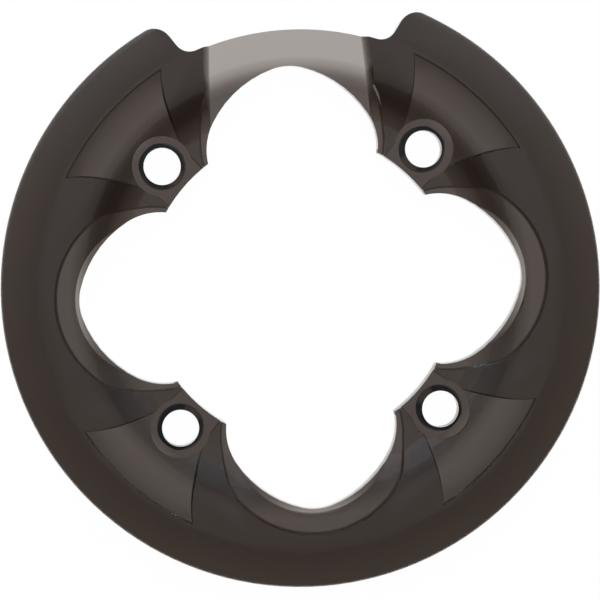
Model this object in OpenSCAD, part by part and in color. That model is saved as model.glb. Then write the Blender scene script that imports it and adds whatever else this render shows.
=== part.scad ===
// Chainring guard, moulded clear smoke plastic, four bolts, cut away for the crank arm
// z = 0 is the front face of the bolt pads, where the bolt heads seat, +Z points outboard,
// the origin is the centre of the bolt circle, +Y points to the cutaway

/* [Ring] */
// Outside diameter of the guard
outer_d = 168; // [166:0.5:172]
// Inside diameter on the arcs between the lobes
inner_d = 87.4; // [86.6:0.2:88.2]
// Thickness of the body, front face to back face
body_t = 7.3; // [7:0.1:7.6]
// Thickness lost from the crease to the rim
rim_drop = 0.5; // [0.2:0.1:0.9]
// Radius of the faint crease where the flat rim band begins
crease_r = 73.6; // [73.2:0.1:74]
// Rounding of the front rim edge
rim_round = 1.6; // [1:0.1:2]
// Small chamfer on the back rim edge
back_chamfer = 0.6; // [0.3:0.1:1]

/* [Hub] */
// How far the back of the body stands outboard of the bolt pads
dish = 3.4; // [3:0.1:3.6]
// Radius where the back starts to fall towards the hub
dish_from = 65.2; // [65:0.1:65.8]
// Radius where the back has come down to the hub
dish_to = 58; // [57.6:0.1:58.2]
// Radius where the front starts to fall towards the hub
fall_from = 61.8; // [61.5:0.1:62.4]
// Radius where the front has come down to the hub
fall_to = 51.5; // [51:0.1:52.5]
// Thickness of the hub on the ridges between bolts and lobes
ridge_t = 7; // [6.8:0.1:7.4]

/* [Bolts] */
// Diameter of the bolt circle
bolt_circle_d = 104; // [104:0.5:104.5]
// Outside diameter of the bolt sleeve
bolt_d = 10; // [9.8:0.1:10.1]
// Clearance of the hole all round the sleeve
bolt_gap = 0.2; // [0.15:0.05:0.3]
// Diameter of the countersink on the back of each hole
sink_d = 13.4; // [13:0.1:13.8]
// Depth of that countersink
sink_depth = 1.7; // [1.5:0.1:1.9]
// Thickness of the pad round each bolt
pad_t = 6.2; // [5.9:0.1:6.4]
// Diameter of the flat spot round each bolt
spot_d = 16.8; // [16.4:0.1:17]

/* [Lobes] */
// Distance of the lobe nose from the centre
lobe_nose = 62.5; // [62:0.1:63]
// Radius of the lobe nose
nose_r = 14.4; // [14:0.1:14.8]
// Radius of the bowed flanks between nose and shoulders
flank_r = 30.5; // [28:0.5:34]
// Half width of a lobe
lobe_half = 24.1; // [23.9:0.1:24.3]
// Radius of the lobe shoulders
shoulder_r = 17.2; // [16.8:0.1:17.6]
// Distance of the shoulder centres from the ring centre
shoulder_at = 39.3; // [39:0.1:39.6]

/* [Crescent shelf] */
// Distance of the shelf circle from the ring centre
shelf_at = 41.5; // [41.2:0.1:41.8]
// Radius of the shelf circle at the front face
shelf_r = 27.7; // [27.5:0.1:28]
// Thickness left under the shelf in the body
shelf_t = 5.7; // [5.5:0.1:5.9]
// Thickness left under the shelf in the hub
shelf_hub_t = 5.8; // [5.6:0.1:6]
// Sideways run of the shelf wall for each mm of depth
shelf_draft = 0.46; // [0.4:0.02:0.5]
// Thickness of the thin lip at each lobe nose
lip_t = 2.3; // [2.1:0.1:2.6]
// Radius of the lip circle
lip_r = 22; // [21.8:0.1:22.2]

/* [Fan panels] */
// Thickness of the panel where its hollow is deepest
fan_t = 5.5; // [5.3:0.1:5.7]
// Thickness of the panel at its outer arc
fan_edge_t = 6.6; // [6.4:0.1:6.8]
// Half width of the fan at the lobe cusps
fan_foot = 8.2; // [8:0.1:8.4]
// Half width of the fan at its outer corners
fan_top = 20.8; // [20.4:0.1:21.2]
// Radius of the hollow flare at each side of the fan
fan_flare_r = 38; // [36:0.5:42]
// Sideways run of the fan walls for each mm of height
fan_draft = 0.3; // [0.2:0.02:0.34]

/* [Crank arm channel] */
// Width of the channel floor for the crank arm, at the cutaway edge
channel_w = 42.4; // [42:0.1:43]
// Angle at which each channel side opens towards the centre
channel_taper = 3; // [2:0.5:4]
// Lean of the channel sides from upright
channel_lean = 18; // [14:1:22]
// Thickness of the channel floor
floor_t = 2.1; // [1.9:0.1:2.4]
// Radius of the cutaway edge
cut_r = 72.6; // [72.3:0.1:72.9]
// Offset of the slanted rim ends from the centre line
end_offset = 15.1; // [14.6:0.1:15.6]
// Slant of the rim ends against the centre line
end_slant = 35; // [34:0.5:36]
// Rounding of the rim tips
tip_r = 5.5; // [5:0.1:6]
// Fillet between a rim end and the cutaway edge
fillet_r = 4.5; // [4.2:0.1:4.8]

/* [Hidden] */
$fn = 128;

outer_r = outer_d / 2;
inner_r = inner_d / 2;
bolt_circle_r = bolt_circle_d / 2;
fan_reach = crease_r - 3;
hole_r = bolt_d / 2 + bolt_gap;
front = dish + body_t;
rim_front = front - rim_drop;
fan_depth = front - pad_t;
slack = 1;

// Points down a smooth fall from one radius and height to another
function fall(r_out, r_in, z_out, z_in, steps = 3) =
    [for (i = [0 : steps])
        let (t = i / steps)
        [r_out + (r_in - r_out) * t, z_out + (z_in - z_out) * (1 - cos(180 * t)) / 2]];

// Points on an arc, from one angle to another
function arc(c, r, a0, a1, n) =
    [for (i = [0 : n])
        let (a = a0 + (a1 - a0) * i / n)
        [c[0] + r * cos(a), c[1] + r * sin(a)]];

// The same outline seen in a mirror across the x axis, in reverse order
function flip_y(pts) = [for (i = [len(pts) - 1 : -1 : 0]) [pts[i][0], -pts[i][1]]];

// The same outline seen in a mirror across the y axis, in reverse order
function flip_x(pts) = [for (i = [len(pts) - 1 : -1 : 0]) [-pts[i][0], pts[i][1]]];

// Section of the ring before anything is cut out of it
module ring_section() {
    polygon(concat(
        [[inner_r - 4, 0]],
        fall(dish_to, dish_from, 0, dish),
        [[outer_r - back_chamfer, dish],
         [outer_r, dish + back_chamfer]],
        arc([outer_r - rim_round, rim_front - rim_round], rim_round, 0, 85, 5),
        [[crease_r, front]],
        fall(fall_from, fall_to, front, ridge_t),
        [[inner_r - 4, ridge_t]]
    ));
}

// Space in front of a face that is so high in the body and so high in the hub
module in_front_of(z_out, z_in) {
    rotate_extrude()
        polygon(concat(
            [[outer_r + slack, z_out]],
            fall(fall_from - 0.4, fall_to - 0.4, z_out, z_in),
            [[inner_r - 8, z_in],
             [inner_r - 8, front + slack],
             [outer_r + slack, front + slack]]
        ));
}

// Outline of one lobe: a nose arc, two bowed flanks and two shoulder arcs, all tangent
module lobe_outline() {
    nose = [lobe_nose - nose_r, 0];
    shoulder = [shoulder_at, lobe_half - shoulder_r];
    gap = norm(nose - shoulder);
    to_nose = (nose - shoulder) / gap;
    a = flank_r - nose_r;
    b = flank_r - shoulder_r;
    part = (b * b - a * a + gap * gap) / (2 * gap);
    flank = shoulder + part * to_nose + sqrt(b * b - part * part) * [to_nose[1], -to_nose[0]];
    nose_end = atan2(nose[1] - flank[1], nose[0] - flank[0]);
    flank_end = atan2(shoulder[1] - flank[1], shoulder[0] - flank[0]);
    half = concat(
        arc(nose, nose_r, 0, nose_end, 5),
        arc(flank, flank_r, nose_end, flank_end, 7),
        arc(shoulder, shoulder_r, flank_end, 112, 12),
        [[inner_r - 14, lobe_half - 1.5]]
    );
    polygon(concat(flip_y(half), [for (i = [1 : len(half) - 1]) half[i]]));
}

// One lobe: the opening, the crescent shelf beside it and the thin lip at its nose
module lobe_cut() {
    translate([0, 0, -slack])
        linear_extrude(height = front + 2 * slack)
            lobe_outline();
    translate([shelf_at, 0, dish + lip_t])
        cylinder(h = front, r = lip_r);
    intersection() {
        in_front_of(dish + shelf_t, shelf_hub_t);
        translate([shelf_at, 0, 0])
            cylinder(
                h = front + slack,
                r1 = shelf_r - front * shelf_draft,
                r2 = shelf_r + slack * shelf_draft
            );
    }
}

// Island beside the fan, a drafted cone whose flank is the side wall of the fan
module fan_side() {
    rise = fan_top - fan_foot;
    run = fan_reach - inner_r;
    chord = norm([run, rise]);
    tilt = atan2(rise, run);
    sag = sqrt(fan_flare_r * fan_flare_r - chord * chord / 4);
    mid = [inner_r + run / 2, fan_foot + rise / 2];
    at = mid + sag * [-sin(tilt), cos(tilt)];
    translate([at[0], at[1], pad_t - slack])
        cylinder(
            h = fan_depth + 3 * slack,
            r1 = fan_flare_r + (fan_depth + slack) * fan_draft,
            r2 = fan_flare_r - 2 * slack * fan_draft
        );
}

// Hollow floor of the fan: flat at the bolt, a fall from the body, then a shallow scoop
module fan_floor() {
    low = dish + fan_t;
    high = dish + fan_edge_t;
    rotate_extrude()
        polygon(concat(
            [[crease_r - 0.2, front + slack],
             [crease_r - 1.3, high],
             [crease_r - 5, low + (high - low) * 0.45],
             [crease_r - 9, low + (high - low) * 0.1]],
            fall(fall_from + 0.5, fall_to + 0.5, low, pad_t),
            [[inner_r - 7, pad_t],
             [inner_r - 7, front + slack]]
        ));
}

// One fan panel with the flat spot and the countersunk hole for its bolt
module fan_cut() {
    difference() {
        intersection() {
            fan_floor();
            translate([0, -bolt_circle_r / 2, 0])
                cube([outer_r, bolt_circle_r, 2 * front]);
        }
        fan_side();
        mirror([0, 1, 0])
            fan_side();
    }
    translate([bolt_circle_r, 0, pad_t])
        cylinder(h = front, d = spot_d);
    translate([bolt_circle_r, 0, -slack])
        cylinder(h = front, r = hole_r);
    translate([bolt_circle_r, 0, -slack])
        cylinder(
            h = sink_depth + slack,
            r1 = sink_d / 2 + slack * (sink_d / 2 - hole_r) / sink_depth,
            r2 = hole_r
        );
}

// Outline of the rim taken away for the crank arm, with rounded tips and filleted corners
module cutaway_outline() {
    along = [cos(90 - end_slant), sin(90 - end_slant)];
    across = [-along[1], along[0]];
    f_off = end_offset + fillet_r;
    f_run = sqrt(pow(cut_r + fillet_r, 2) - f_off * f_off);
    t_off = end_offset - tip_r;
    t_run = sqrt(pow(outer_r - tip_r, 2) - t_off * t_off);
    f_at = across * f_off + along * f_run;
    t_at = across * t_off + along * t_run;
    f_dir = atan2(f_at[1], f_at[0]);
    t_dir = atan2(t_at[1], t_at[0]);
    start = 180 - end_slant;
    half = concat(
        arc([0, 0], cut_r, 90, f_dir, 12),
        arc(f_at, fillet_r, f_dir - 180, start - 180, 8),
        arc(t_at, tip_r, start, t_dir, 8),
        [[1.5 * outer_r * cos(t_dir), 1.5 * outer_r * sin(t_dir)]]
    );
    polygon(concat(flip_x(half), [for (i = [1 : len(half) - 1]) half[i]]));
}

// Everything on the inner side of one leaning channel wall
module channel_side() {
    reach = 2 * outer_r;
    translate([channel_w / 2, cut_r, dish + floor_t])
        rotate([0, channel_lean, channel_taper])
            translate([-reach, -reach, -reach])
                cube([reach, 2 * reach, 2 * reach]);
}

// Way for the crank arm: a channel across the body and the cutaway in the rim
module crank_way() {
    intersection() {
        translate([-outer_r / 2, 0, dish + floor_t])
            cube([outer_r, outer_r, front]);
        channel_side();
        mirror([1, 0, 0])
            channel_side();
    }
    translate([0, 0, -slack])
        linear_extrude(height = front + 2 * slack)
            cutaway_outline();
}

// The whole guard
module chainring_guard() {
    color([0.25, 0.22, 0.2])
        translate([0, 0, -pad_t])
            difference() {
                rotate_extrude()
                    ring_section();
                translate([0, 0, -slack])
                    cylinder(h = front + 2 * slack, r = inner_r);
                for (a = [0 : 90 : 270])
                    rotate([0, 0, a])
                        lobe_cut();
                for (a = [45 : 90 : 315])
                    rotate([0, 0, a])
                        fan_cut();
                crank_way();
            }
}

chainring_guard();
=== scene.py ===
# %% [markdown]
# This lesson dresses one moulded part: a guard ring for a bicycle crank, made of
# see-through smoke plastic. The solids come from the CAD model, and every size in
# here is in metres, in the same frame: the ring lies flat, its front face looks up
# along +Z, and the cutaway for the crank arm points along +Y.

# %% Load the frame
import math

import bmesh
import bpy
from mathutils import Matrix, Vector


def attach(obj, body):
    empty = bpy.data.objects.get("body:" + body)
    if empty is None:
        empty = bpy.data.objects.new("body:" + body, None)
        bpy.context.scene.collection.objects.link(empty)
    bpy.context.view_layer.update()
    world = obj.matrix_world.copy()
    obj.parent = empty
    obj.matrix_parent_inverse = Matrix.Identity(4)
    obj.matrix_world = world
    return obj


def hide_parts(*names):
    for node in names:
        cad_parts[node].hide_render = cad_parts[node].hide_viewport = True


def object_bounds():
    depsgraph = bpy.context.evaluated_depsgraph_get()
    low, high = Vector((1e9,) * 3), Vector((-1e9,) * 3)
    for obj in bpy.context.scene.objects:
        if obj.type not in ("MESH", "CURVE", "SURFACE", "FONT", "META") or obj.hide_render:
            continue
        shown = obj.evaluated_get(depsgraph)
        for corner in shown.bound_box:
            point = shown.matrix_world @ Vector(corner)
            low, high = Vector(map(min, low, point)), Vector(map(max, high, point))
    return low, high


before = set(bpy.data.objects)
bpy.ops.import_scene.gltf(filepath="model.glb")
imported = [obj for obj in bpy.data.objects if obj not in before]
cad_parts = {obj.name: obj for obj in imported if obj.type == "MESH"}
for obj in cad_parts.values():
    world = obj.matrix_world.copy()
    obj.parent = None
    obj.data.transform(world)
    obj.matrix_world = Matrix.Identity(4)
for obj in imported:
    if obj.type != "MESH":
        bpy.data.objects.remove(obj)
cad_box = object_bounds()
scene = bpy.context.scene
MM = 0.001
print("CAD box in mm:", [[round(v / MM, 1) for v in corner] for corner in cad_box])

# %% [markdown]
# The CAD mesh is loose triangles, so the visible piece is a copy of it with its
# doubled points merged and its flat faces made whole again. A bevel then splits every
# real corner, which keeps the flat faces flat right up to it. The bevel is clamped by
# the shortest edge in the mesh, so the round it makes is far finer than the width
# asked for, and the corners stay crisp.

# %% Make the moulded ring
BEVEL_WIDTH = 0.45 * MM
BEVEL_STEPS = 2
MERGE = 0.002 * MM
FLAT = math.radians(0.6)
CORNER = math.radians(24)


def moulded_copy(node, name, body):
    """A copy of a CAD node with merged points, whole flat faces and finely split corners."""
    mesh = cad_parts[node].data.copy()
    mesh.name = name
    mesh.materials.clear()
    bm = bmesh.new()
    bm.from_mesh(mesh)
    bmesh.ops.remove_doubles(bm, verts=bm.verts, dist=MERGE)
    bmesh.ops.dissolve_limit(bm, angle_limit=FLAT, verts=bm.verts, edges=bm.edges)
    bm.to_mesh(mesh)
    bm.free()
    if "custom_normal" in mesh.attributes:
        mesh.attributes.remove(mesh.attributes["custom_normal"])
    mesh.shade_smooth()
    piece = bpy.data.objects.new(name, mesh)
    scene.collection.objects.link(piece)
    bevel = piece.modifiers.new("edge_round", "BEVEL")
    bevel.width = BEVEL_WIDTH
    bevel.segments = BEVEL_STEPS
    bevel.limit_method = "ANGLE"
    bevel.angle_limit = CORNER
    bevel.use_clamp_overlap = True
    bevel.harden_normals = True
    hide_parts(node)
    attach(piece, body)
    return piece


ring = moulded_copy("chainring_guard", "guard_ring", "root")
print("ring faces:", len(ring.data.polygons))

# %% [markdown]
# The plastic's look is a small graph of nodes. These helpers each add one node, link
# what goes into it and give back what comes out. Patterns read object coordinates,
# so they stay put on the piece.

# %% Node helpers


def at_scale(nodes, links, coords, stretch):
    """Object coordinates in metres, stretched by a number along each axis."""
    mapping = nodes.new("ShaderNodeMapping")
    mapping.inputs["Scale"].default_value = stretch
    links.new(coords, mapping.inputs["Vector"])
    return mapping.outputs["Vector"]


def noise(nodes, links, vector, scale, detail):
    """Cloudy values from 0 to 1, with a number of clouds to the metre."""
    texture = nodes.new("ShaderNodeTexNoise")
    texture.inputs["Scale"].default_value = scale
    texture.inputs["Detail"].default_value = detail
    links.new(vector, texture.inputs["Vector"])
    return texture.outputs["Fac"]


def spread(nodes, links, value, low, high, to_low, to_high):
    """Map a value from one range to another, clamped at both ends."""
    node = nodes.new("ShaderNodeMapRange")
    node.inputs["From Min"].default_value = low
    node.inputs["From Max"].default_value = high
    node.inputs["To Min"].default_value = to_low
    node.inputs["To Max"].default_value = to_high
    links.new(value, node.inputs["Value"])
    return node.outputs["Result"]


def combine(nodes, links, operation, first, second):
    """One value made from two, by a named operation such as ADD or MAXIMUM."""
    node = nodes.new("ShaderNodeMath")
    node.operation = operation
    links.new(first, node.inputs[0])
    links.new(second, node.inputs[1])
    return node.outputs[0]


def bump(nodes, links, height, distance, strength):
    """A bump node for a height map, whose own Normal input may take another bump."""
    node = nodes.new("ShaderNodeBump")
    node.inputs["Distance"].default_value = distance
    node.inputs["Strength"].default_value = strength
    links.new(height, node.inputs["Height"])
    return node


# %% [markdown]
# Smoke plastic is clear plastic with a little dye all through it, so how dark it
# looks depends on how thick it is: the thin channel floor is pale and the thick
# body is nearly black. A tinted surface can't do that. The shader therefore lets
# all light in, and an absorbing volume takes some of it away for every millimetre.
#
# The skin has slow waves, left by the melt as it ran into the mould, and fine scuffs
# in two directions. Scuffed streaks are a little rougher than the polished skin
# between them. The dye isn't perfectly even either, so the tint drifts slowly from
# warm to olive.

# %% Smoke plastic
POLYCARBONATE_IOR = 1.585
DYE = (0.220, 0.147, 0.102, 1.0)
DYE_DENSITY = 550.0

WAVES_PER_M = 60.0
WAVE_DETAIL = 2.0
WAVE_HEIGHT = 0.12 * MM
WAVE_STRENGTH = 0.35

SCUFFS_ALONG_Y = (2600.0, 90.0, 300.0)
SCUFFS_ALONG_X = (110.0, 2300.0, 300.0)
SCUFF_DETAIL = 3.0
SCUFF_HEIGHT = 0.004 * MM
SCUFF_STRENGTH = 0.3
SCUFF_RANGE = (0.5, 0.72)
POLISHED_TO_SCUFFED = (0.03, 0.16)

DRIFTS_PER_M = 34.0
DRIFT_DETAIL = 2.0
DRIFT_RANGE = (0.35, 0.65)
WARM_TINT = (1.0, 0.985, 0.985, 1.0)
OLIVE_TINT = (0.97, 1.0, 0.975, 1.0)


def smoke_plastic():
    """Clear plastic that absorbs light along its depth, with a waved and scuffed skin."""
    material = bpy.data.materials.new("smoke_plastic")
    material.use_nodes = True
    nodes, links = material.node_tree.nodes, material.node_tree.links
    shader = nodes["Principled BSDF"]
    shader.inputs["Transmission Weight"].default_value = 1.0
    shader.inputs["IOR"].default_value = POLYCARBONATE_IOR
    coords = nodes.new("ShaderNodeTexCoord").outputs["Object"]

    waves = noise(nodes, links, coords, WAVES_PER_M, WAVE_DETAIL)
    long_y = at_scale(nodes, links, coords, SCUFFS_ALONG_Y)
    long_x = at_scale(nodes, links, coords, SCUFFS_ALONG_X)
    along_y = noise(nodes, links, long_y, 1.0, SCUFF_DETAIL)
    along_x = noise(nodes, links, long_x, 1.0, SCUFF_DETAIL)
    scuffs = combine(nodes, links, "MAXIMUM", along_y, along_x)
    wave_bump = bump(nodes, links, waves, WAVE_HEIGHT, WAVE_STRENGTH)
    scuff_bump = bump(nodes, links, scuffs, SCUFF_HEIGHT, SCUFF_STRENGTH)
    links.new(wave_bump.outputs["Normal"], scuff_bump.inputs["Normal"])
    links.new(scuff_bump.outputs["Normal"], shader.inputs["Normal"])
    rough = spread(nodes, links, scuffs, *SCUFF_RANGE, *POLISHED_TO_SCUFFED)
    links.new(rough, shader.inputs["Roughness"])

    drift = noise(nodes, links, coords, DRIFTS_PER_M, DRIFT_DETAIL)
    tint = nodes.new("ShaderNodeMix")
    tint.data_type = "RGBA"
    tint.inputs["A"].default_value = WARM_TINT
    tint.inputs["B"].default_value = OLIVE_TINT
    links.new(spread(nodes, links, drift, *DRIFT_RANGE, 0.0, 1.0), tint.inputs["Factor"])
    links.new(tint.outputs["Result"], shader.inputs["Base Color"])

    dye = nodes.new("ShaderNodeVolumeAbsorption")
    dye.inputs["Color"].default_value = DYE
    dye.inputs["Density"].default_value = DYE_DENSITY
    links.new(dye.outputs[0], nodes["Material Output"].inputs["Volume"])
    return material


ring.data.materials.append(smoke_plastic())
print("ring material:", ring.data.materials[0].name)

# %% [markdown]
# The photograph shows the ring on plain white. The floor is a matt white sheet, and
# rays that come straight from the camera, from a gloss or through the plastic see it
# as even white, so the plastic is lit from behind as it is on a white table. The
# glow and the matt sheet together come to about 1, which is white.

# %% Floor
FLOOR_SIZE = 4.0
WHITE = (1.0, 1.0, 1.0, 1.0)
MATT_WHITE = (0.85, 0.85, 0.85, 1.0)
GLOW_STRENGTH = 1.03
GLOW_SHARE = 0.96


def seen_directly(nodes, links):
    """1 for a ray from the camera, from a gloss or through clear plastic, else 0."""
    path = nodes.new("ShaderNodeLightPath").outputs
    bare = combine(nodes, links, "MAXIMUM", path["Is Camera Ray"], path["Is Glossy Ray"])
    return combine(nodes, links, "MAXIMUM", bare, path["Is Transmission Ray"])


def white_floor():
    """A matt white sheet that also glows evenly where it is seen directly."""
    material = bpy.data.materials.new("white_floor")
    material.use_nodes = True
    nodes, links = material.node_tree.nodes, material.node_tree.links
    nodes.clear()
    out = nodes.new("ShaderNodeOutputMaterial")
    matt = nodes.new("ShaderNodeBsdfDiffuse")
    matt.inputs["Color"].default_value = MATT_WHITE
    glow = nodes.new("ShaderNodeEmission")
    glow.inputs["Color"].default_value = WHITE
    glow.inputs["Strength"].default_value = GLOW_STRENGTH
    share = nodes.new("ShaderNodeMath")
    share.operation = "MULTIPLY"
    share.inputs[1].default_value = GLOW_SHARE
    mix = nodes.new("ShaderNodeMixShader")
    links.new(seen_directly(nodes, links), share.inputs[0])
    links.new(share.outputs[0], mix.inputs["Fac"])
    links.new(matt.outputs[0], mix.inputs[1])
    links.new(glow.outputs[0], mix.inputs[2])
    links.new(mix.outputs[0], out.inputs["Surface"])
    return material


def lay_floor():
    """A flat square at the height of the ring's lowest point."""
    bm = bmesh.new()
    bmesh.ops.create_grid(bm, x_segments=1, y_segments=1, size=FLOOR_SIZE / 2)
    bmesh.ops.translate(bm, verts=bm.verts, vec=(0.0, 0.0, cad_box[0].z))
    mesh = bpy.data.meshes.new("floor")
    bm.to_mesh(mesh)
    bm.free()
    mesh.materials.append(white_floor())
    floor = bpy.data.objects.new("floor", mesh)
    scene.collection.objects.link(floor)
    return floor


floor = lay_floor()
print("floor at", round(cad_box[0].z / MM, 1), "mm, material", floor.data.materials[0].name)

# %% [markdown]
# The ring is glossy, so what it mirrors matters as much as what shines through it.
# The room gets brighter towards the cutaway side, with a bright strip low beyond it
# that the steep slopes pick up. A small panel sits where the flat front mirrors it to
# the camera. The rim slopes away from that panel, so it looks a shade darker.
#
# Each of the three is a soft step, given as the value where it starts, the value
# where it ends and the brightness it reaches.

# %% Room
SKY = (0.86, 0.92, 1.0, 1.0)
ROOM = (-0.25, 0.6, 0.7)
STRIP = (0.84, 0.96, 3.0)
PANEL = (0.978, 0.988, 0.2)
TOWARDS_PANEL = (0.059, -0.044, 0.997)


def soft_step(nodes, links, value, low, high, level):
    """0 below the low value and a level above the high one, with a soft step between."""
    node = nodes.new("ShaderNodeMapRange")
    node.interpolation_type = "SMOOTHSTEP"
    node.inputs["From Min"].default_value = low
    node.inputs["From Max"].default_value = high
    node.inputs["To Max"].default_value = level
    links.new(value, node.inputs["Value"])
    return node.outputs["Result"]


def light_the_room():
    """A world whose light depends on the direction a ray leaves in."""
    world = bpy.data.worlds.new("studio")
    world.use_nodes = True
    nodes, links = world.node_tree.nodes, world.node_tree.links
    sky = nodes["Background"]
    sky.inputs["Color"].default_value = SKY
    ray = nodes.new("ShaderNodeTexCoord").outputs["Generated"]
    axes = nodes.new("ShaderNodeSeparateXYZ")
    links.new(ray, axes.inputs[0])
    to_panel = nodes.new("ShaderNodeVectorMath")
    to_panel.operation = "DOT_PRODUCT"
    to_panel.inputs[1].default_value = TOWARDS_PANEL
    links.new(ray, to_panel.inputs[0])
    room = soft_step(nodes, links, axes.outputs["Y"], *ROOM)
    strip = soft_step(nodes, links, axes.outputs["Y"], *STRIP)
    panel = soft_step(nodes, links, to_panel.outputs["Value"], *PANEL)
    walls = combine(nodes, links, "ADD", room, strip)
    links.new(combine(nodes, links, "ADD", walls, panel), sky.inputs["Strength"])
    return world


scene.world = light_the_room()
print("world:", scene.world.name)

# %% [markdown]
# One large, weak soft box adds a gentle sheen from the cutaway side.

# %% Lamp
LAMP_PLACE = (-0.3, 1.3, 1.2)
LAMP_SIZE = 1.6
LAMP_POWER = 2.0


def soft_lamp(name, place, size, power):
    """A square soft box that looks at the middle of the ring."""
    data = bpy.data.lights.new(name, "AREA")
    data.size = size
    data.energy = power
    lamp = bpy.data.objects.new(name, data)
    lamp.location = place
    lamp.rotation_euler = (-Vector(place)).to_track_quat("-Z", "Y").to_euler()
    scene.collection.objects.link(lamp)
    return lamp


key = soft_lamp("key", LAMP_PLACE, LAMP_SIZE, LAMP_POWER)
print("lamp:", key.name, key.data.energy, "W")

# %% [markdown]
# The camera looks down on the front face from a little left and above, as the
# photograph does. Four bolt holes on a known circle give the scale, and the outer
# rim, which sits slightly off the middle of the holes, gives the tilt.

# %% Camera
IMAGE = 600
PX_PER_MM = 3.5329
DISTANCE = 0.6
TURN = math.radians(3.9)
TILT_LEFT = math.radians(3.55)
TILT_UP = math.radians(2.26)
HOLES_AT_PX = (301.23, 287.97)
AIM_HEIGHT = -4.2 * MM
SENSOR = 36.0

up = Vector((math.sin(TURN), math.cos(TURN), 0.0))
right = Vector((math.cos(TURN), -math.sin(TURN), 0.0))
straight = Vector((0, 0, 1))
toward = (straight - right * math.tan(TILT_LEFT) + up * math.tan(TILT_UP)).normalized()
offset_right = (HOLES_AT_PX[0] - IMAGE / 2) / PX_PER_MM * MM
offset_up = (IMAGE / 2 - HOLES_AT_PX[1]) / PX_PER_MM * MM
aim = Vector((0, 0, AIM_HEIGHT)) - right * offset_right - up * offset_up
cam_up = (up - toward * up.dot(toward)).normalized()
cam_right = cam_up.cross(toward)
turn = Matrix((cam_right, cam_up, toward)).transposed().to_4x4()
camera_data = bpy.data.cameras.new("camera")
camera_data.sensor_width = SENSOR
camera_data.lens = SENSOR * DISTANCE / (IMAGE / PX_PER_MM * MM)
camera = bpy.data.objects.new("camera", camera_data)
camera.matrix_world = Matrix.Translation(aim + toward * DISTANCE) @ turn
scene.collection.objects.link(camera)
scene.camera = camera
scene.view_settings.view_transform = "Standard"
print("camera lens:", round(camera_data.lens, 1), "mm")
